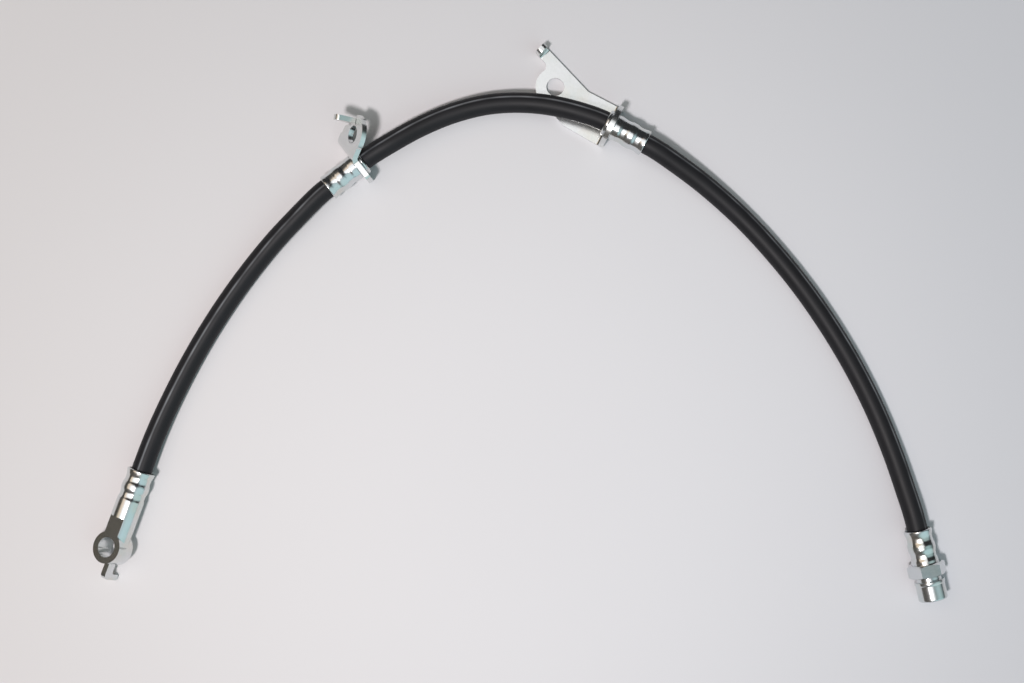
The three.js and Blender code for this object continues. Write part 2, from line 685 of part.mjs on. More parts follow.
function secondFlange(bendHeight) {
  const outline = new THREE.Shape();
  outline.moveTo(-SECOND_HALF_WIDTH, bendHeight);
  outline.lineTo(SECOND_HALF_WIDTH, bendHeight);
  outline.absarc(0, 0, SECOND_HALF_WIDTH, 0, Math.PI, false);
  return outline;
}

function secondArm() {
  const outline = new THREE.Shape();
  const lobeX = SECOND_HOLE.x + BOLT_LOBE_RADIUS * Math.cos(SECOND_LOBE_START);
  const lobeY = SECOND_HOLE.y + BOLT_LOBE_RADIUS * Math.sin(SECOND_LOBE_START);
  outline.moveTo(0, -SECOND_HALF_WIDTH);
  outline.lineTo(SECOND_TANG_SIDE_KINK.x, SECOND_TANG_SIDE_KINK.y);
  outline.lineTo(SECOND_TANG_FROM.x, SECOND_TANG_FROM.y);
  outline.lineTo(SECOND_TANG_TO.x, SECOND_TANG_TO.y);
  outline.lineTo(SECOND_NOTCH.x, SECOND_NOTCH.y);
  outline.quadraticCurveTo(SECOND_NOTCH_BEND.x, SECOND_NOTCH_BEND.y, lobeX, lobeY);
  outline.absarc(
    SECOND_HOLE.x, SECOND_HOLE.y, BOLT_LOBE_RADIUS, SECOND_LOBE_START, SECOND_LOBE_END, false,
  );
  outline.lineTo(SECOND_FREE_SIDE_KINK.x, SECOND_FREE_SIDE_KINK.y);
  outline.lineTo(0, SECOND_HALF_WIDTH);
  return outline;
}

const secondBracket = {
  bendAngle: Math.PI / 2,
  armDistance: SECOND_ARM_DISTANCE,
  bendLow: -SECOND_HALF_WIDTH,
  bendHigh: SECOND_HALF_WIDTH,
  hole: SECOND_HOLE,
  tang: [SECOND_TANG_FROM, SECOND_TANG_TO, SECOND_TANG_HEIGHT, BEND_RADIUS, 1],
  flange: secondFlange,
  arm: secondArm,
};

// Hose

function straightThrough(station, direction) {
  return [...STRAIGHT_BEFORE, ...STRAIGHT_AFTER].map((along) =>
    station.clone().addScaledVector(direction, along));
}

function hoseRoute() {
  const point = ([x, y, z]) => new THREE.Vector3(x, y, z);
  return [
    BANJO_MOUTH.clone().addScaledVector(BANJO_DIRECTION, HOSE_INSERT),
    BANJO_MOUTH,
    ...LEFT_ARC.map(point),
    ...straightThrough(FIRST_STATION, FIRST_DIRECTION),
    ...TOP_SPAN.map(point),
    ...straightThrough(SECOND_STATION, SECOND_DIRECTION).reverse(),
    ...RIGHT_ARC.map(point),
    FEMALE_MOUTH,
    FEMALE_MOUTH.clone().addScaledVector(FEMALE_DIRECTION, HOSE_INSERT),
  ];
}

function hoseGeometry() {
  const section = new THREE.Shape();
  section.absarc(0, 0, HOSE_DIAMETER / 2, 0, 2 * Math.PI, false);
  const bore = new THREE.Path();
  bore.absarc(0, 0, HOSE_BORE / 2, 0, 2 * Math.PI, true);
  section.holes.push(bore);
  return new THREE.ExtrudeGeometry(section, {
    extrudePath: new THREE.CatmullRomCurve3(hoseRoute(), false, 'centripetal'),
    steps: HOSE_STEPS,
    curveSegments: HOSE_SIDES / 2,
    bevelEnabled: false,
  });
}

// Assembly

const banjoFrame = hoseFrame(BANJO_MOUTH, BANJO_DIRECTION, BANJO_ROLL);
const femaleFrame = hoseFrame(FEMALE_MOUTH, FEMALE_DIRECTION);
const firstFrame = hoseFrame(FIRST_STATION, FIRST_DIRECTION, FIRST_ROLL);
const secondFrame = hoseFrame(SECOND_STATION, SECOND_DIRECTION);

const brakeHose = new THREE.Group();

function addPiece(name, geometry, finish) {
  const mesh = new THREE.Mesh(geometry, new THREE.MeshStandardMaterial(finish));
  mesh.name = name;
  brakeHose.add(mesh);
}

addPiece('hose', hoseGeometry(), blackRubber);
addPiece('banjo_fitting', banjoFitting(banjoFrame), darkSteel);
addPiece('banjo_nipple', nippleGeometry(banjoFrame), zincSteel);
addPiece('female_fitting', femaleFitting(femaleFrame), zincSteel);
addPiece('female_nipple', nippleGeometry(femaleFrame), zincSteel);
addPiece('first_collar', collarGeometry(firstFrame), zincSteel);
addPiece('first_bracket', bracket(firstBracket, firstFrame), zincSteel);
addPiece('second_collar', collarGeometry(secondFrame), zincSteel);
addPiece('second_bracket', bracket(secondBracket, secondFrame), zincSteel);

// The origin goes to the middle of the outline, on the surface that it lies on
const outlineBox = new THREE.Box3().setFromObject(brakeHose, true);
const middle = outlineBox.getCenter(new THREE.Vector3());
brakeHose.position.set(-middle.x, -middle.y, -outlineBox.min.z);

export default brakeHose;
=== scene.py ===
"""A car's brake hose on a pale sheet: black rubber hose, banjo end, female end, two brackets."""
import math

import bmesh
import bpy
import numpy as np
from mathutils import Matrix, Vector


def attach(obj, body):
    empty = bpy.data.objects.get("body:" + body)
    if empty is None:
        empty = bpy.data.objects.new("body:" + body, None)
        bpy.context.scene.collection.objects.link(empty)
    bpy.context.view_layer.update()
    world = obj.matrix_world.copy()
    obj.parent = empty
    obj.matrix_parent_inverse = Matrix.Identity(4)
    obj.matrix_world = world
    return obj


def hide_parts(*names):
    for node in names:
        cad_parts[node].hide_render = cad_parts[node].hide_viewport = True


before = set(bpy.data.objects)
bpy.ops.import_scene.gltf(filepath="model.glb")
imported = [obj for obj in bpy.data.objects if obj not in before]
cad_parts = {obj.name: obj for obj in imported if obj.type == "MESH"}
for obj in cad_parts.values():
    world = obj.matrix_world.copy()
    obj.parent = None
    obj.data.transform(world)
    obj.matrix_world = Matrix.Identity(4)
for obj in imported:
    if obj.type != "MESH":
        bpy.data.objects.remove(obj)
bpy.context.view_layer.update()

MM = 0.001

# Sizes are in millimetres; RADIUS, BORE, HOLE and LOBE are radii.

# Hose
HOSE_RADIUS = 5.2
HOSE_INSERT = 15.7       # length of hose inside each socket
RIDGE_HEIGHT = 0.09      # the moulding line
RIDGE_WIDTH = 0.055      # radians round the hose
# width of the painted highlight along the moulding line
GLINT_WIDTH = 0.08       # radians round the hose

# Crimped ends: diameters, the two crimps' places from the mouth, radius past the crimps
SOCKET = {"mouth": 14.1, "crimp": 13.3, "bulge": 14.1, "first": 4.9, "second": 13.2, "end": 6.9}
COLLAR = {"mouth": 13.4, "crimp": 12.9, "bulge": 13.5, "first": 4.6, "second": 12.6, "end": 6.6}
MOUTH_FLARE = 0.1        # the bell mouth is shown wider than the CAD's by this radius
CRIMP_EXTRA = 0.15       # the crimps are shown deeper than the CAD's by this radius
CRIMP_WIDTH = 2.6
CRIMP_RAMP = 1.3
JAWS = 8
JAW_DEPTH = 0.011        # share of the radius
BULGE_MARK = 0.35        # how strongly the jaws mark the bulge, against 1 at a crimp
SOCKET_RADIUS = 6.9
SOCKET_FLOOR = 17.5
HOSE_BORE = 5.5
PASSAGE = 1.2

# Banjo end
EYE_FROM_MOUTH = 41.7
EYE_RADIUS = 8.25
EYE_HALF = 5.4
EYE_HOLE = 5.1
NECK_STEP = 25.5
HOOK_REACH = 16.5
HOOK_WIDTH = 2.8
FORGED_EDGE = 0.45

# Female end
HEX_FLATS = 17.0
HEX_CORNER = HEX_FLATS / math.sqrt(3)
HEX_START = 17.5
HEX_END = 24.2
GROOVE_RADIUS = 6.3
GROOVE_END = HEX_END + 2.2
LIP_RADIUS = 7.75
PORT_RADIUS = 7.4
PORT_BORE = 4.6
PORT_FLOOR = 25.1
PORT_END = 36.6

# Brackets and their collars
PLATE = 2.6
BEND_RADIUS = 1.5
BOLT_HOLE = 4.6
BOLT_LOBE = 10.2
STAMPED_EDGE = 0.3
COLLAR_LENGTH = 18
NECK_RADIUS = 6.3
FLANGE_BORE = 6.6

# Shading, in degrees
SMOOTH_ANGLE = 38        # curved surfaces are shaded as one up to this
FLAT_ANGLE = 9           # two flat faces that meet at less are shaded as one curve
FLAT_START = 1.5         # a flat face is shaded apart from a bevel steeper than this
FLAT_AREA = 2.0          # square millimetres; a flat face is at least this large


def unit(v):
    """The same direction with length one."""
    v = np.asarray(v, float)
    return v / np.linalg.norm(v)


def hose_axes(origin, direction, roll=0.0):
    """Origin and three axes: x along the hose, z as near to up as the roll leaves it."""
    x = unit(direction)
    side = unit(np.cross([0, 0, 1], x))
    up = np.cross(x, side)
    c, s = math.cos(roll), math.sin(roll)
    return np.asarray(origin, float), np.array([x, c * side + s * up, c * up - s * side])


BANJO = hose_axes((-193.7, -75.55, 7.45), (-0.341, -0.939, 0.045), math.radians(26))
FEMALE = hose_axes((202.1, -105.35, HEX_FLATS / 2), (0.226, -0.974, 0))
FIRST = hose_axes((-82.0, 81.35, 9.0), (0.79, 0.613, 0), math.radians(132))
SECOND = hose_axes((44.9, 100.95, 11.2), (-0.879, 0.476, 0))

# The hose's middle line, as listed points
LEFT_ARC = [
    (-191.7, -69.8, 7.1), (-187.5, -58.5, 6.3), (-180.2, -41.9, 5.5), (-169.1, -20.1, 5.3),
    (-156.7, 0.8, 5.3), (-142.9, 20.9, 5.4), (-127.6, 40.0, 6.2), (-115.0, 53.2, 8.0),
]
TOP_SPAN = [
    (-67.4, 90.9, 10.0), (-51.5, 99.8, 9.2), (-34.7, 106.8, 8.8), (-16.9, 111.2, 8.8),
    (1.3, 112.1, 9.2), (19.4, 109.8, 10.2),
]
RIGHT_ARC = [
    (79.5, 80.9, 9.4), (94.3, 70.1, 7.2), (112.6, 54.1, 5.6), (129.2, 36.4, 5.3),
    (144.4, 17.6, 5.3), (158.3, -2.5, 5.3), (170.7, -23.4, 5.3), (181.6, -45.3, 5.4),
    (190.7, -68.1, 6.2), (196.4, -85.5, 7.4), (199.8, -96.5, 8.3),
]
STRAIGHT = (-26, -17, -3, 5)


# Materials

def linear(code):
    """An sRGB hex colour as linear RGBA."""
    value = [int(code[i:i + 2], 16) / 255 for i in (1, 3, 5)]
    return [v / 12.92 if v <= 0.04045 else ((v + 0.055) / 1.055) ** 2.4 for v in value] + [1]


def add_node(tree, kind, links=None, **settings):
    """Adds a node, sets its attributes or unlinked inputs, and links the named inputs."""
    node = tree.nodes.new(kind)
    for key, value in settings.items():
        if hasattr(node, key):
            setattr(node, key, value)
        else:
            node.inputs[key.replace("_", " ")].default_value = value
    for key, source in (links or {}).items():
        tree.links.new(source, node.inputs[key])
    return node


def new_material(name):
    """An empty node material and its tree."""
    material = bpy.data.materials.new(name)
    material.use_nodes = True
    tree = material.node_tree
    tree.nodes.clear()
    return material, tree


def set_surface(tree, shader):
    """Ends the tree with the shader as its surface."""
    output = tree.nodes.new("ShaderNodeOutputMaterial")
    tree.links.new(shader.outputs[0], output.inputs["Surface"])


def mix_colour(tree, factor, first, second, blend="MIX"):
    """A colour mix; each of first and second is a colour or a socket."""
    node = tree.nodes.new("ShaderNodeMix")
    node.data_type = "RGBA"
    node.blend_type = blend
    for socket, value in ((node.inputs[0], factor), (node.inputs[6], first), (node.inputs[7], second)):
        if isinstance(value, bpy.types.NodeSocket):
            tree.links.new(value, socket)
        else:
            socket.default_value = value
    return node.outputs[2]


def black_rubber():
    """Moulded rubber cover of the hose: nearly black and satin, mottled in patches of about
    11 mm, with a grain of about half a millimetre from the mould. A paler grey painted along
    the moulding line is a painted highlight: the glint of light on its ridge. It gives the
    broad soft sheen on top."""
    material, tree = new_material("black_rubber")
    place = add_node(tree, "ShaderNodeTexCoord").outputs["Object"]
    mark = add_node(tree, "ShaderNodeAttribute", attribute_name="moulding_line_glint").outputs["Fac"]
    mottle = add_node(tree, "ShaderNodeTexNoise", {"Vector": place}, Scale=90.0, Detail=4.0)
    grain = add_node(tree, "ShaderNodeTexNoise", {"Vector": place}, Scale=1800.0, Detail=3.0)
    base = mix_colour(tree, mottle.outputs["Fac"], linear("#1a1a1c"), linear("#232326"))
    # painted highlight: the moulding line's glint of light is painted on as a paler grey
    base_with_glint = mix_colour(tree, mark, base, linear("#85888c"))
    rough = add_node(tree, "ShaderNodeMapRange", {"Value": mottle.outputs["Fac"]})
    rough.inputs["To Min"].default_value = 0.44
    rough.inputs["To Max"].default_value = 0.56
    bump = add_node(tree, "ShaderNodeBump", {"Height": grain.outputs["Fac"]})
    bump.inputs["Strength"].default_value = 0.25
    bump.inputs["Distance"].default_value = 0.00008
    shader = add_node(tree, "ShaderNodeBsdfPrincipled", {
        "Base Color": base_with_glint, "Roughness": rough.outputs["Result"], "Normal": bump.outputs["Normal"]})
    shader.inputs["Specular IOR Level"].default_value = 0.18
    set_surface(tree, shader)
    return material


def zinc_plate(name, cool, warm, neutral, roughness):
    """Bright zinc plate passed through a clear chromate bath: a mirror-like grey metal whose
    film tints it faintly teal and gold in clouds of about 6 mm, in some places of about 13 mm
    and not in others. A fine pattern of about 1 mm makes it here and there more satin."""
    material, tree = new_material(name)
    place = add_node(tree, "ShaderNodeTexCoord").outputs["Object"]
    cloud = add_node(tree, "ShaderNodeTexNoise", {"Vector": place}, Scale=160.0, Detail=2.0)
    other = add_node(tree, "ShaderNodeTexNoise", {"Vector": place}, Scale=75.0, Detail=2.0)
    fine = add_node(tree, "ShaderNodeTexNoise", {"Vector": place}, Scale=900.0, Detail=4.0)
    film = mix_colour(tree, cloud.outputs["Fac"], linear(cool), linear(warm))
    soft = add_node(tree, "ShaderNodeMapRange", {"Value": other.outputs["Fac"]})
    soft.inputs["From Min"].default_value = 0.4
    soft.inputs["From Max"].default_value = 0.62
    tint = mix_colour(tree, soft.outputs["Result"], linear(neutral), film)
    rough = add_node(tree, "ShaderNodeMapRange", {"Value": fine.outputs["Fac"]})
    rough.inputs["To Min"].default_value = roughness * 0.8
    rough.inputs["To Max"].default_value = roughness * 1.25
    shader = add_node(tree, "ShaderNodeBsdfPrincipled", {
        "Base Color": tint, "Roughness": rough.outputs["Result"]})
    shader.inputs["Metallic"].default_value = 1.0
    set_surface(tree, shader)
    return material


def pale_paper():
    """The matt pale sheet that the hose lies on. It is a stage piece. Its colour carries painted
    light: a painted tint, a shade warmer at the left and cooler at the right, and painted
    shade that darkens it a little towards its edges."""
    material, tree = new_material("pale_paper")
    place = add_node(tree, "ShaderNodeTexCoord").outputs["Object"]
    parts = add_node(tree, "ShaderNodeSeparateXYZ", {"Vector": place})
    # painted light: a tint warmer at the left and cooler at the right
    across = add_node(tree, "ShaderNodeMapRange", {"Value": parts.outputs["X"]})
    across.inputs["From Min"].default_value = -0.26
    across.inputs["From Max"].default_value = 0.26
    painted_light_tone = mix_colour(tree, across.outputs["Result"], linear("#dbd8d8"), linear("#d3d5da"))
    # painted shade: the sheet darkens away from a point a little below the middle, towards its edges
    offset = add_node(tree, "ShaderNodeVectorMath", {0: place}, operation="DISTANCE")
    offset.inputs[1].default_value = (0.0, -0.08, 0.0)
    edge = add_node(tree, "ShaderNodeMapRange", {"Value": offset.outputs["Value"]},
                    interpolation_type="SMOOTHSTEP")
    edge.inputs["From Min"].default_value = 0.05
    edge.inputs["From Max"].default_value = 0.36
    edge.inputs["To Min"].default_value = 0.0
    edge.inputs["To Max"].default_value = 0.16
    painted_light_tone = mix_colour(tree, edge.outputs["Result"], painted_light_tone, [0, 0, 0, 1])
    shader = add_node(tree, "ShaderNodeBsdfPrincipled", {"Base Color": painted_light_tone})
    shader.inputs["Roughness"].default_value = 0.9
    shader.inputs["Specular IOR Level"].default_value = 0.1
    set_surface(tree, shader)
    return material


RUBBER = black_rubber()
ZINC = zinc_plate("zinc_plate", "#c6dadd", "#e3d6cb", "#dadddf", 0.19)
PRESSED_ZINC = zinc_plate("pressed_zinc", "#d0dadb", "#dfd9d0", "#dddfdf", 0.24)


# Building surfaces

def mesh_piece(name, points, faces, material, smooth_angle=SMOOTH_ANGLE):
    """A mesh object in the row frame from points in millimetres, shaded by angle."""
    mesh = bpy.data.meshes.new(name)
    mesh.from_pydata((np.asarray(points) * MM).tolist(), [], faces)
    mesh.update()
    mesh.shade_smooth()
    mesh.set_sharp_from_angle(angle=math.radians(smooth_angle))
    piece = bpy.data.objects.new(name, mesh)
    bpy.context.collection.objects.link(piece)
    piece.data.materials.append(material)
    return piece


def grid_faces(rows, columns, closed_rows):
    """Quads of a grid that closes round its columns, and round its rows if asked."""
    i = np.arange(rows if closed_rows else rows - 1)[:, None]
    j = np.arange(columns)[None, :]
    nxt = (i + 1) % rows
    right = (j + 1) % columns
    quads = np.stack([
        np.broadcast_to(i * columns + j, (len(i), columns)),
        i * columns + right, nxt * columns + right, nxt * columns + j], axis=-1)
    return quads.reshape(-1, 4).tolist()


def fillet(profile, radius=0.25, steps=4):
    """Rounds each corner of a closed profile of (x, r) points: the corner is swapped for a
    parabola between the points that lie up to radius away along its two sides."""
    out = []
    count = len(profile)
    for k in range(count):
        here = np.array(profile[k][:2], float)
        before = np.array(profile[k - 1][:2], float)
        after = np.array(profile[(k + 1) % count][:2], float)
        reach = profile[k][2] if len(profile[k]) > 2 else radius
        a = before - here
        b = after - here
        ra = min(reach, np.linalg.norm(a) * 0.45)
        rb = min(reach, np.linalg.norm(b) * 0.45)
        start = here + unit(a) * ra
        end = here + unit(b) * rb
        for t in np.linspace(0, 1, steps + 1):
            out.append((1 - t) ** 2 * start + 2 * t * (1 - t) * here + t * t * end)
    return np.array(out)


def subdivided(profile, longest=0.5):
    """Adds points along the long sides of a closed profile, so that it can be shaped."""
    out = []
    for k in range(len(profile)):
        a, b = profile[k], profile[(k + 1) % len(profile)]
        parts = max(1, int(math.ceil(np.linalg.norm(b - a) / longest)))
        out += [a + (b - a) * t / parts for t in range(parts)]
    return np.array(out)


def smooth_step(x, low, high):
    """0 below low, 1 above high, and t * t * (3 - 2 t) between them."""
    t = np.clip((x - low) / (high - low), 0, 1)
    return t * t * (3 - 2 * t)


def pressed(x, radius, angle, crimps, outer):
    """How far the crimping jaws press a ring in: at each crimp the round section goes over
    to a wave of eight soft flats, and the ends of the jaws leave a shallow ramp."""
    octagon = 1 - JAW_DEPTH * (1 - np.cos(JAWS * angle))
    depth = np.zeros_like(x)
    for middle in (crimps["first"], crimps["second"]):
        away = np.abs(x - middle)
        depth = np.maximum(depth, 1 - smooth_step(away, CRIMP_WIDTH / 2, CRIMP_WIDTH / 2 + CRIMP_RAMP))
    depth = np.maximum(depth, BULGE_MARK * smooth_step(x, crimps["first"], crimps["first"] + 1)
                       * (1 - smooth_step(x, crimps["second"] - 1, crimps["second"])))
    shaped = radius * (1 - depth * (1 - octagon))
    return np.where(outer, shaped, radius)


def turned(name, profile, axes, material, crimps=None, wall=None, steps=96):
    """A closed profile of (x, r) turned about x. With crimps, the outside is pressed by the
    jaws; wall is a function that moves the radius by x and angle, such as for a thread."""
    origin, basis = axes
    ring = subdivided(fillet(profile))
    x, r = ring[:, 0:1], ring[:, 1:2]
    angle = np.linspace(0, 2 * math.pi, steps, endpoint=False)[None, :] + 0 * x
    radius = r + 0 * angle
    if crimps:
        outer = r > HOSE_BORE + 0.3
        radius = pressed(x + 0 * angle, radius, angle, crimps, outer)
    if wall:
        radius = wall(x + 0 * angle, radius, angle)
    local = np.stack([x + 0 * angle, radius * np.cos(angle), radius * np.sin(angle)], axis=-1)
    points = origin + local.reshape(-1, 3) @ basis
    return mesh_piece(name, points, grid_faces(len(ring), steps, True), material)


def prism(name, outline, low, high, to_world, material=PRESSED_ZINC):
    """A block with a flat outline of (a, b) points, from low to high along c. to_world turns
    (a, b, c) rows into row-frame millimetres."""
    outline = np.asarray(outline, float)
    a, b = outline[:, 0], outline[:, 1]
    area = np.sum(a * np.roll(b, -1) - np.roll(a, -1) * b)
    if area < 0:
        outline = outline[::-1]
    n = len(outline)
    points = np.concatenate([np.c_[outline, np.full(n, low)], np.c_[outline, np.full(n, high)]])
    faces = [list(range(n))[::-1], [n + i for i in range(n)]]
    faces += [[i, (i + 1) % n, n + (i + 1) % n, n + i] for i in range(n)]
    return mesh_piece(name, to_world(points), faces, material)


def in_axes(axes, order=(0, 1, 2)):
    """Turns local rows, whose columns are the axes named by order, into the row frame."""
    origin, basis = axes
    return lambda rows: origin + np.asarray(rows) @ basis[list(order)]


def combine(base, others, operation):
    """Joins or cuts solids with exact booleans and leaves one clean mesh in base."""
    for other in others:
        modifier = base.modifiers.new("shape", "BOOLEAN")
        modifier.operation = operation
        modifier.solver = "EXACT"
        modifier.object = other
    graph = bpy.context.evaluated_depsgraph_get()
    graph.update()
    made = bpy.data.meshes.new_from_object(base.evaluated_get(graph))
    base.modifiers.clear()
    base.data = made
    for other in others:
        bpy.data.objects.remove(other)
    return base


def round_edges(piece, width, from_angle):
    """Breaks every edge sharper than from_angle, in degrees, by width, in millimetres: three
    narrow flats stand for the round."""
    modifier = piece.modifiers.new("edges", "BEVEL")
    modifier.width = width * MM
    modifier.segments = 3
    modifier.limit_method = "ANGLE"
    modifier.angle_limit = math.radians(from_angle)
    modifier.miter_outer = "MITER_ARC"
    graph = bpy.context.evaluated_depsgraph_get()
    graph.update()
    made = bpy.data.meshes.new_from_object(piece.evaluated_get(graph))
    piece.modifiers.clear()
    piece.data = made
    return shade(piece)


def shade(piece):
    """Smooth shading that stops at edges over SMOOTH_ANGLE, over FLAT_START where one side is a
    flat face and over FLAT_ANGLE between two. A flat face is a set of neighbouring polygons in
    one plane with FLAT_AREA or more together."""
    made = bmesh.new()
    made.from_mesh(piece.data)
    made.faces.index_update()
    plane = list(range(len(made.faces)))

    def first_of(i):
        while plane[i] != i:
            plane[i] = plane[plane[i]]
            i = plane[i]
        return i

    for edge in made.edges:
        if len(edge.link_faces) == 2 and edge.calc_face_angle(0) < math.radians(0.4):
            plane[first_of(edge.link_faces[0].index)] = first_of(edge.link_faces[1].index)
    area = {}
    for face in made.faces:
        face.smooth = True
        key = first_of(face.index)
        area[key] = area.get(key, 0.0) + face.calc_area() / MM ** 2
    for edge in made.edges:
        angle = math.degrees(edge.calc_face_angle(math.pi))
        flats = sum(area[first_of(face.index)] >= FLAT_AREA for face in edge.link_faces)
        edge.smooth = angle < (SMOOTH_ANGLE, FLAT_START, FLAT_ANGLE)[flats]
    made.to_mesh(piece.data)
    made.free()
    return piece


def outward(piece):
    """Turns the faces of a closed piece so that they all look outwards."""
    mesh = piece.data
    points = np.empty(len(mesh.vertices) * 3)
    mesh.vertices.foreach_get("co", points)
    points = points.reshape(-1, 3)
    volume = 0.0
    for face in mesh.polygons:
        corners = points[list(face.vertices)]
        for k in range(1, len(corners) - 1):
            volume += np.dot(corners[0], np.cross(corners[k], corners[k + 1]))
    if volume < 0:
        mesh.flip_normals()
    return piece


def arc(centre, radius, start, end, steps=32):
    """Points on a circle from angle start to angle end, in radians."""
    t = np.linspace(start, end, steps)
    return np.c_[centre[0] + radius * np.cos(t), centre[1] + radius * np.sin(t)]


def curve(start, bend, end, steps=16):
    """A parabola from start to end that leans towards bend."""
    t = np.linspace(0, 1, steps)[:, None]
    return (1 - t) ** 2 * np.array(start) + 2 * t * (1 - t) * np.array(bend) + t * t * np.array(end)


# Hose

def straight_through(axes):
    """Points of the hose where a collar holds it straight."""
    origin, basis = axes
    return [origin + basis[0] * along for along in STRAIGHT]


def hose_route():
    """The middle line's points, from inside the banjo end to inside the female end."""
    banjo_mouth, banjo_basis = BANJO
    female_mouth, female_basis = FEMALE
    points = [banjo_mouth + banjo_basis[0] * HOSE_INSERT, banjo_mouth]
    points += LEFT_ARC + straight_through(FIRST) + TOP_SPAN
    points += straight_through(SECOND)[::-1] + RIGHT_ARC
    points += [female_mouth, female_mouth + female_basis[0] * HOSE_INSERT]
    return np.array([np.asarray(p, float) for p in points])


def smooth_line(points, step=0.9):
    """A centripetal Catmull-Rom curve through points, sampled at an even step."""
    padded = np.vstack([2 * points[0] - points[1], points, 2 * points[-1] - points[-2]])
    line = []
    for p0, p1, p2, p3 in zip(padded, padded[1:], padded[2:], padded[3:]):
        t1 = np.linalg.norm(p1 - p0) ** 0.5
        t2 = t1 + np.linalg.norm(p2 - p1) ** 0.5
        t3 = t2 + np.linalg.norm(p3 - p2) ** 0.5
        t = np.linspace(t1, t2, 40, endpoint=False)[:, None]
        a1 = (t1 - t) / t1 * p0 + t / t1 * p1
        a2 = (t2 - t) / (t2 - t1) * p1 + (t - t1) / (t2 - t1) * p2
        a3 = (t3 - t) / (t3 - t2) * p2 + (t - t2) / (t3 - t2) * p3
        b1 = (t2 - t) / t2 * a1 + t / t2 * a2
        b2 = (t3 - t) / (t3 - t1) * a2 + (t - t1) / (t3 - t1) * a3
        line.append((t2 - t) / (t2 - t1) * b1 + (t - t1) / (t2 - t1) * b2)
    line = np.vstack(line + [points[-1:]])
    along = np.r_[0, np.cumsum(np.linalg.norm(np.diff(line, axis=0), axis=1))]
    even = np.linspace(0, along[-1], int(along[-1] / step) + 1)
    return np.stack([np.interp(even, along, line[:, k]) for k in range(3)], axis=1), even


def hose_piece():
    """The hose: a circle carried along its middle line, its side level with the ground. A low
    ridge, the mould's parting line, runs along it; its place round the hose drifts slowly."""
    line, along = smooth_line(hose_route())
    tangent = np.gradient(line, axis=0)
    tangent /= np.linalg.norm(tangent, axis=1)[:, None]
    side = np.cross([0, 0, 1], tangent)
    side /= np.linalg.norm(side, axis=1)[:, None]
    up = np.cross(tangent, side)
    steps = 120
    angle = np.linspace(0, 2 * math.pi, steps, endpoint=False)[None, :]
    drift = (1.38 - 0.3 * smooth_step(along, 120, 280) - 0.2 * smooth_step(along, 320, 420))[:, None]
    away = (angle - drift + math.pi) % (2 * math.pi) - math.pi
    ridge = RIDGE_HEIGHT * np.exp(-(away / RIDGE_WIDTH) ** 2)
    radius = HOSE_RADIUS + ridge
    points = (line[:, None, :] + radius[..., None] * (
        np.cos(angle)[..., None] * side[:, None, :] + np.sin(angle)[..., None] * up[:, None, :]))
    rows = len(line)
    flat = points.reshape(-1, 3)
    faces = grid_faces(rows, steps, False)
    first, last = len(flat), len(flat) + 1
    flat = np.vstack([flat, line[:1], line[-1:]])
    faces += [[(j + 1) % steps, j, first] for j in range(steps)]
    faces += [[(rows - 1) * steps + j, (rows - 1) * steps + (j + 1) % steps, last] for j in range(steps)]
    piece = mesh_piece("hose_cover", flat, faces, RUBBER, 60)
    # how strongly the painted highlight along the moulding line shows at each point; it varies along the
    # hose
    glint_strength = 0.55 + 0.25 * np.sin(along / 7.3) * np.sin(along / 2.9 + 1.0) + 0.15 * np.sin(along / 37.0)
    near = np.exp(-(away / GLINT_WIDTH) ** 2)
    strength = np.zeros(len(flat), np.float32)
    strength[:rows * steps] = (near * glint_strength[:, None]).reshape(-1)
    mark = piece.data.attributes.new("moulding_line_glint", "FLOAT", "POINT")
    mark.data.foreach_set("value", strength)
    return piece, line, along


# Fittings

def socket_outside(sizes):
    """Outside of a crimped socket from its bell mouth to past the second crimp. The radius
    goes from station to station in smooth waves."""
    middle = (sizes["first"] + sizes["second"]) / 2
    mouth, crimp, bulge = sizes["mouth"] / 2, sizes["crimp"] / 2 - CRIMP_EXTRA, sizes["bulge"] / 2
    stations = [
        (0.5, mouth + MOUTH_FLARE), (sizes["first"] - 0.5, crimp), (sizes["first"] + 0.5, crimp),
        (middle - 0.7, bulge), (middle + 0.7, bulge),
        (sizes["second"] - 0.5, crimp), (sizes["second"] + 0.5, crimp),
        (sizes["second"] + 3.0, sizes["end"]),
    ]
    points = [(0, mouth - 0.45, 0.2), (0.2, mouth, 0.15)]
    for (start, low), (end, high) in zip(stations, stations[1:]):
        for x in np.linspace(start, end, 8, endpoint=False):
            points.append((x, low + (high - low) * float(smooth_step(x, start, end)), 0.05))
    return points


def socket_inside(sizes):
    """Inside of a socket, from its floor back to the mouth."""
    return [
        (SOCKET_FLOOR, PASSAGE, 0.1), (SOCKET_FLOOR, HOSE_BORE, 0.2),
        (2.2, HOSE_BORE, 0.6), (0, sizes["mouth"] / 2 - 0.85, 0.2),
    ]


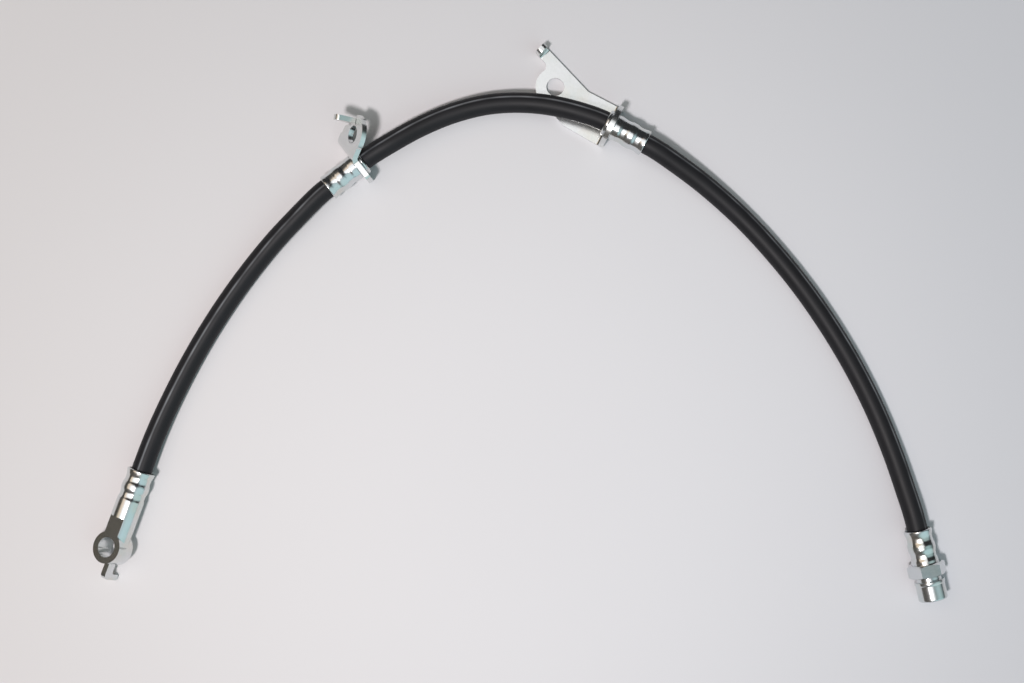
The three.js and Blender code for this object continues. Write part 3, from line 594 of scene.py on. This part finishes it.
def banjo_piece():
    """Banjo end: the turned socket and neck, its two flats, the eye and the stop hook."""
    shank = turned("banjo", [
        *socket_outside(SOCKET), (SOCKET["second"] + 3.0, SOCKET_RADIUS, 0.3),
        (EYE_FROM_MOUTH, SOCKET_RADIUS, 0.1), (EYE_FROM_MOUTH, PASSAGE, 0.1),
        *socket_inside(SOCKET)], BANJO, ZINC, SOCKET)
    block = [(NECK_STEP, -14), (EYE_FROM_MOUTH + 1, -14), (EYE_FROM_MOUTH + 1, 14), (NECK_STEP, 14)]
    cuts = [prism("cut", block, *span, in_axes(BANJO)) for span in ((EYE_HALF, 14), (-14, -EYE_HALF))]
    combine(shank, cuts, "DIFFERENCE")
    eye = prism("eye", arc((EYE_FROM_MOUTH, 0), EYE_RADIUS, 0, 2 * math.pi, 97)[:-1],
                -EYE_HALF, EYE_HALF, in_axes(BANJO))
    inner = HOOK_REACH - 3
    stem = [
        (6.1, -5.2), (inner - BEND_RADIUS, -5.2),
        *arc((inner - BEND_RADIUS, -5.2 - BEND_RADIUS), BEND_RADIUS, math.pi / 2, 0, 16),
        (inner, -9.8), (inner + 0.6, -10.4), (HOOK_REACH - 0.6, -10.4), (HOOK_REACH, -9.8),
        *arc((inner, -3), 3, 0, math.pi / 2, 20), (6.1, 0),
    ]
    stem = [(EYE_FROM_MOUTH + a, b) for a, b in stem]
    hook = prism("hook", stem, -HOOK_WIDTH / 2, HOOK_WIDTH / 2, in_axes(BANJO, (0, 2, 1)))
    hook.data.flip_normals()
    combine(shank, [eye, hook], "UNION")
    hole = prism("hole", arc((EYE_FROM_MOUTH, 0), EYE_HOLE, 0, 2 * math.pi, 97)[:-1],
                 -9, 9, in_axes(BANJO))
    combine(shank, [hole], "DIFFERENCE")
    return round_edges(shank, FORGED_EDGE, 50)


def thread_wall(x, radius, angle):
    """The port's female thread: a wave of 1 mm pitch that climbs once round per turn."""
    inside = (radius > 4.4) & (radius < 4.75)
    fade = smooth_step(x, 26.5, 27.5) * (1 - smooth_step(x, 34.9, 35.9))
    wave = np.abs(((x - angle / (2 * math.pi)) % 1.0) - 0.5) * 2
    return np.where(inside, radius + 0.55 * fade * wave, radius)


def female_piece():
    """Female end: socket, 17 mm hexagon with turned corners, clip groove, lip, threaded port."""
    body = turned("female", [
        *socket_outside(SOCKET), (SOCKET["second"] + 3.0, SOCKET_RADIUS, 0.3),
        (HEX_START + 3, SOCKET_RADIUS, 0.1), (HEX_START + 3, GROOVE_RADIUS, 0.1),
        (GROOVE_END, GROOVE_RADIUS, 0.3), (GROOVE_END, LIP_RADIUS, 0.3),
        (HEX_END + 3.75, LIP_RADIUS, 0.4), (HEX_END + 4.1, PORT_RADIUS, 0.3),
        (PORT_END - 0.6, PORT_RADIUS, 0.3), (PORT_END, 6.8, 0.3),
        (PORT_END, 5.4, 0.2), (PORT_END - 0.8, PORT_BORE, 0.1), (PORT_FLOOR, PORT_BORE, 0.1),
        (PORT_FLOOR, 3.3, 0.1), (27.2, PASSAGE, 0.1),
        *socket_inside(SOCKET)], FEMALE, ZINC, SOCKET, thread_wall)
    hexagon = prism("hexagon", [
        (HEX_CORNER * math.cos(k * math.pi / 3), HEX_CORNER * math.sin(k * math.pi / 3))
        for k in range(6)],
        HEX_START, HEX_END, in_axes(FEMALE, (1, 2, 0)), ZINC)
    envelope = turned("envelope", [
        (HEX_START - 0.01, 5.9, 0.01), (HEX_START - 0.01, HEX_CORNER - 1.6, 0.01),
        (HEX_START + 0.9, HEX_CORNER + 0.02, 0.01), (HEX_END - 0.9, HEX_CORNER + 0.02, 0.01),
        (HEX_END + 0.01, HEX_CORNER - 1.6, 0.01), (HEX_END + 0.01, 5.9, 0.01)], FEMALE, ZINC)
    combine(hexagon, [envelope], "INTERSECT")
    combine(body, [hexagon], "UNION")
    return shade(body)


def collar_piece(name, axes):
    """Bracket collar: bell mouth and two crimps, shoulder, neck through the flange, and a lip
    rolled over on the far side."""
    shoulder = -(PLATE + 0.3)
    far = shoulder - COLLAR_LENGTH
    outside = [(far + x, *rest) for x, *rest in socket_outside(COLLAR)]
    profile = [
        *outside, (shoulder - 2.2, 6.6, 0.2), (shoulder, 6.65, 0.25), (shoulder, NECK_RADIUS, 0.05),
        (0.3, NECK_RADIUS, 0.05), (0.3, 6.7, 0.2), (0.9, 7.1, 0.6), (1.9, 6.7, 0.6),
        (2.2, 6.0, 0.3), (2.2, HOSE_BORE, 0.15),
        (far + 2.2, HOSE_BORE, 0.6), (far, COLLAR["mouth"] / 2 - 0.85, 0.2),
    ]
    sizes = {**COLLAR, "first": COLLAR["first"] + far, "second": COLLAR["second"] + far}
    return turned(name, profile, axes, ZINC, sizes)


# Stamped brackets

def bend_frame(axes, angle, distance):
    """Where the bend turns, and the arm's axes: s away from the bend, y along it, n inwards."""
    turn = math.pi + angle
    outwards = np.array([math.cos(turn), 0, math.sin(turn)])
    along = np.array([-math.sin(turn), 0, math.cos(turn)])
    centre = np.array([BEND_RADIUS, 0, BEND_RADIUS * math.tan(angle / 2) - distance])
    origin, basis = axes
    start = origin + (centre + outwards * (BEND_RADIUS + PLATE)) @ basis
    arm = (start, np.array([along @ basis, basis[1], -outwards @ basis]))
    return turn, centre, arm


def sector(axes, turn, centre, low, high):
    """The bend: a ring sector as thick as the plate, from low to high across the bracket."""
    middle = (centre[0], centre[2])
    outline = np.vstack([arc(middle, BEND_RADIUS + PLATE, math.pi, turn, 16),
                         arc(middle, BEND_RADIUS, turn, math.pi, 16)])
    return prism("bend", outline, low, high, in_axes(axes, (0, 2, 1)))


def tang(arm, start, end, height, radius, side):
    """A tang bent square off the arm's edge: strip profile cut to a tip with round corners."""
    start, end = np.array(start, float), np.array(end, float)
    line = end - start
    width = np.linalg.norm(line)
    line /= width
    outside = radius + PLATE
    profile = np.vstack([
        [(-1, 0)], arc((0, outside), outside, -math.pi / 2, 0, 20), [(outside, height)],
        [(radius, height)], arc((0, outside), radius, 0, -math.pi / 2, 16), [(-1, PLATE)]])
    origin, basis = arm
    out = line[1] * basis[0] - line[0] * basis[1]
    along = line[0] * basis[0] + line[1] * basis[1]
    up = basis[2] * side
    raised = PLATE if side < 0 else 0
    foot = origin + start[0] * basis[0] + start[1] * basis[1] + raised * basis[2]
    strip = prism("strip", profile, 0, width, lambda rows: foot + rows @ np.array([out, up, along]))
    face = np.vstack([
        [(0, -1), (width, -1)], arc((width - 2.2, height - 2.2), 2.2, 0, math.pi / 2, 16),
        arc((2.2, height - 2.2), 2.2, math.pi / 2, math.pi, 16)])
    block = prism("face", face, -2, outside + 2, lambda rows: foot + rows @ np.array([along, up, out]))
    for solid in (strip, block):
        outward(solid)
    return combine(strip, [block], "INTERSECT")


def bracket(name, axes, angle, distance, low, high, flange, arm_outline, hole, tang_spec):
    """A stamped bracket: flange round the collar, bend, arm with its bolt hole, and tang. The
    bend turns by angle at distance from the hose and reaches from low to high."""
    turn, centre, arm = bend_frame(axes, angle, distance)
    plate = prism(name, flange(centre[2]), -PLATE, 0, in_axes(axes, (1, 2, 0)))
    sheet = prism("arm", arm_outline(), 0, PLATE, in_axes(arm))
    bend = sector(axes, turn, centre, low, high)
    for solid in (plate, sheet, bend):
        outward(solid)
    combine(plate, [bend, sheet, tang(arm, *tang_spec)], "UNION")
    bore = prism("bore", arc((0, 0), FLANGE_BORE, 0, 2 * math.pi, 73)[:-1],
                 -9, 6, in_axes(axes, (1, 2, 0)))
    bolt = prism("bolt", arc(hole, BOLT_HOLE, 0, 2 * math.pi, 73)[:-1], -3, 6, in_axes(arm))
    for solid in (bore, bolt):
        outward(solid)
    combine(plate, [bore, bolt], "DIFFERENCE")
    return round_edges(plate, STAMPED_EDGE, 45)


FIRST_BEND = math.radians(54.6)
FIRST_HALF = 9.0
FIRST_TIP = 10.3
FIRST_HOLE = (8.3, -2.0)
SECOND_HOLE = (32.1, -4.9)


def first_flange(bend_height):
    """A tongue with rounded corners that points along the ground, joined to the bend."""
    turn = math.pi - math.radians(132)
    c, s = math.cos(turn), math.sin(turn)

    def on(a, b):
        return (a * c - b * s, a * s + b * c)

    return np.vstack([
        [(-15, bend_height), (7.2, bend_height), on(0, -FIRST_HALF)],
        curve(on(FIRST_TIP - 3, -FIRST_HALF), on(FIRST_TIP, -FIRST_HALF), on(FIRST_TIP, 3 - FIRST_HALF)),
        curve(on(FIRST_TIP, FIRST_HALF - 3), on(FIRST_TIP, FIRST_HALF), on(FIRST_TIP - 3, FIRST_HALF)),
        [on(0, FIRST_HALF)]])


def first_arm():
    """Outline of the first bracket's arm, from the bend round its hooked corner and lobe."""
    lobe = math.atan2(-5.0 - FIRST_HOLE[1], 18.1 - FIRST_HOLE[0])
    return np.vstack([
        [(0, -15)], curve((1.6, -15), (3.6, -15), (4.2, -13.4)),
        curve((7.0, -13.2), (8.8, -12.8), (9.4, -11.2)),
        [(10.9, -7.6), (13.3, -2.9), (13.5, -2.6)],
        arc(FIRST_HOLE, BOLT_LOBE, lobe, 0.61 * math.pi, 40), [(0, 7.2)]])


def second_flange(bend_height):
    """A round flange, closed off straight at the bend."""
    return np.vstack([[(-11, bend_height), (11, bend_height)], arc((0, 0), 11, 0, math.pi, 40)])


def second_arm():
    """Outline of the second bracket's arm, from the bend out to its tip and back by the lobe."""
    start = -math.pi / 6
    lobe = (SECOND_HOLE[0] + BOLT_LOBE * math.cos(start),
            SECOND_HOLE[1] + BOLT_LOBE * math.sin(start))
    return np.vstack([
        [(0, -11), (16, -10.7), (43.5, -19.7), (45.2, -14.1)],
        curve((42.9, -13.4), (41.2, -12.7), lobe),
        arc(SECOND_HOLE, BOLT_LOBE, start, 0.41 * math.pi, 40)[1:], [(19, 10.6), (0, 11)]])


# Camera, hose and pieces

camera_data = bpy.data.cameras.new("camera")
camera_data.lens = 54.57
camera_data.sensor_width = 36
camera = bpy.data.objects.new("camera", camera_data)
camera.location = (-0.0046, -0.00955, 0.8)
bpy.context.collection.objects.link(camera)
bpy.context.scene.camera = camera

hose, route, run_along = hose_piece()
banjo = banjo_piece()
female = female_piece()
first_collar = collar_piece("collar_one", FIRST)
second_collar = collar_piece("collar_two", SECOND)
first_bracket = bracket(
    "bracket_one", FIRST, FIRST_BEND, 7.6, -15, 7.2, first_flange, first_arm, FIRST_HOLE,
    ((10.9, -7.6), (13.3, -2.9), 13.3, 0.8, -1))
second_bracket = bracket(
    "bracket_two", SECOND, math.pi / 2, 8.6, -11, 11, second_flange, second_arm, SECOND_HOLE,
    ((43.5, -19.7), (45.2, -14.1), 10.5, BEND_RADIUS, 1))
dressed = [
    (hose, "hose", "black_rubber"),
    (banjo, "banjo_fitting", "dark_steel"),
    (female, "female_fitting", "zinc_steel"),
    (first_collar, "first_collar", "zinc_steel"),
    (second_collar, "second_collar", "zinc_steel"),
    (first_bracket, "first_bracket", "zinc_steel"),
    (second_bracket, "second_bracket", "zinc_steel"),
]
for piece, node, slot in dressed:
    outward(piece)
    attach(piece, "root")
    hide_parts(node)
for name in ("banjo_nipple", "female_nipple"):
    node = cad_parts[name]
    node.data.materials.clear()
    node.data.materials.append(ZINC)


# Floor, light and room

def floor_sheet():
    """The pale sheet: a flat grid that reaches past the picture on every side."""
    size, parts = 2.4, 8
    grid = np.linspace(-size / 2, size / 2, parts + 1) / MM
    points = np.array([(x, y, -0.05) for y in grid for x in grid])
    n = parts + 1
    faces = [[r * n + c, r * n + c + 1, (r + 1) * n + c + 1, (r + 1) * n + c]
             for r in range(parts) for c in range(parts)]
    return mesh_piece("floor", points, faces, pale_paper())


floor = floor_sheet()


def area_light(name, towards, distance, size, power, colour):
    """A square lamp that shines on the middle of the part from the given direction."""
    data = bpy.data.lights.new(name, "AREA")
    data.size = size
    data.energy = power
    data.color = linear(colour)[:3]
    lamp = bpy.data.objects.new(name, data)
    place = Vector(unit(towards)) * distance
    lamp.location = place
    lamp.rotation_euler = (-place).to_track_quat("-Z", "Y").to_euler()
    bpy.context.collection.objects.link(lamp)
    return lamp


KEY_HEIGHT = math.radians(70.5)
area_light("key", (-0.66 * math.cos(KEY_HEIGHT), -0.75 * math.cos(KEY_HEIGHT), math.sin(KEY_HEIGHT)),
           1.6, 0.16, 19.0, "#fff9fa")


# Light of the room: direction, cosines of the angle at which it starts and is full, and its
# linear colour. A later row covers an earlier one.
ROOM_GLOWS = [
    ((-0.6, -0.5, 0.3), 0.2, 1.0, (0.13, 0.12, 0.11, 1)),        # wall at the lower left
    ((-0.93, 0.25, 0.25), 0.6, 1.0, (0.075, 0.07, 0.06, 1)),     # wall at the left
    ((0.62, -0.55, 0.5), 0.62, 0.93, (0.60, 0.79, 0.81, 1)),     # cool window
    ((-0.5, 0.22, 0.84), 0.88, 0.97, (1.05, 0.86, 0.68, 1)),     # warm glow
    ((-0.17, 0.03, 0.985), 0.905, 0.96, (1.20, 1.20, 1.21, 1)),  # bright ceiling
]


def studio_world():
    """The room round the sheet: dark walls, a bright ceiling overhead, a cool window at the
    lower right and a warm glow beside the ceiling. Metal shows it in bands."""
    world = bpy.data.worlds.new("room")
    bpy.context.scene.world = world
    world.use_nodes = True
    tree = world.node_tree
    tree.nodes.clear()
    place = add_node(tree, "ShaderNodeTexCoord").outputs["Generated"]

    def glow(direction, low, high, colour, before):
        dot = add_node(tree, "ShaderNodeVectorMath", {0: place}, operation="DOT_PRODUCT")
        dot.inputs[1].default_value = unit(direction)
        edge = add_node(tree, "ShaderNodeMapRange", {"Value": dot.outputs["Value"]},
                        interpolation_type="SMOOTHSTEP")
        edge.inputs["From Min"].default_value = low
        edge.inputs["From Max"].default_value = high
        return mix_colour(tree, edge.outputs["Result"], before, colour)

    room = [0.03, 0.031, 0.032, 1]
    for direction, low, high, colour in ROOM_GLOWS:
        room = glow(direction, low, high, list(colour), room)
    back = add_node(tree, "ShaderNodeBackground", {"Color": room})
    back.inputs["Strength"].default_value = 1.0
    output = tree.nodes.new("ShaderNodeOutputWorld")
    tree.links.new(back.outputs[0], output.inputs["Surface"])


studio_world()
scene = bpy.context.scene
scene.view_settings.view_transform = "Standard"
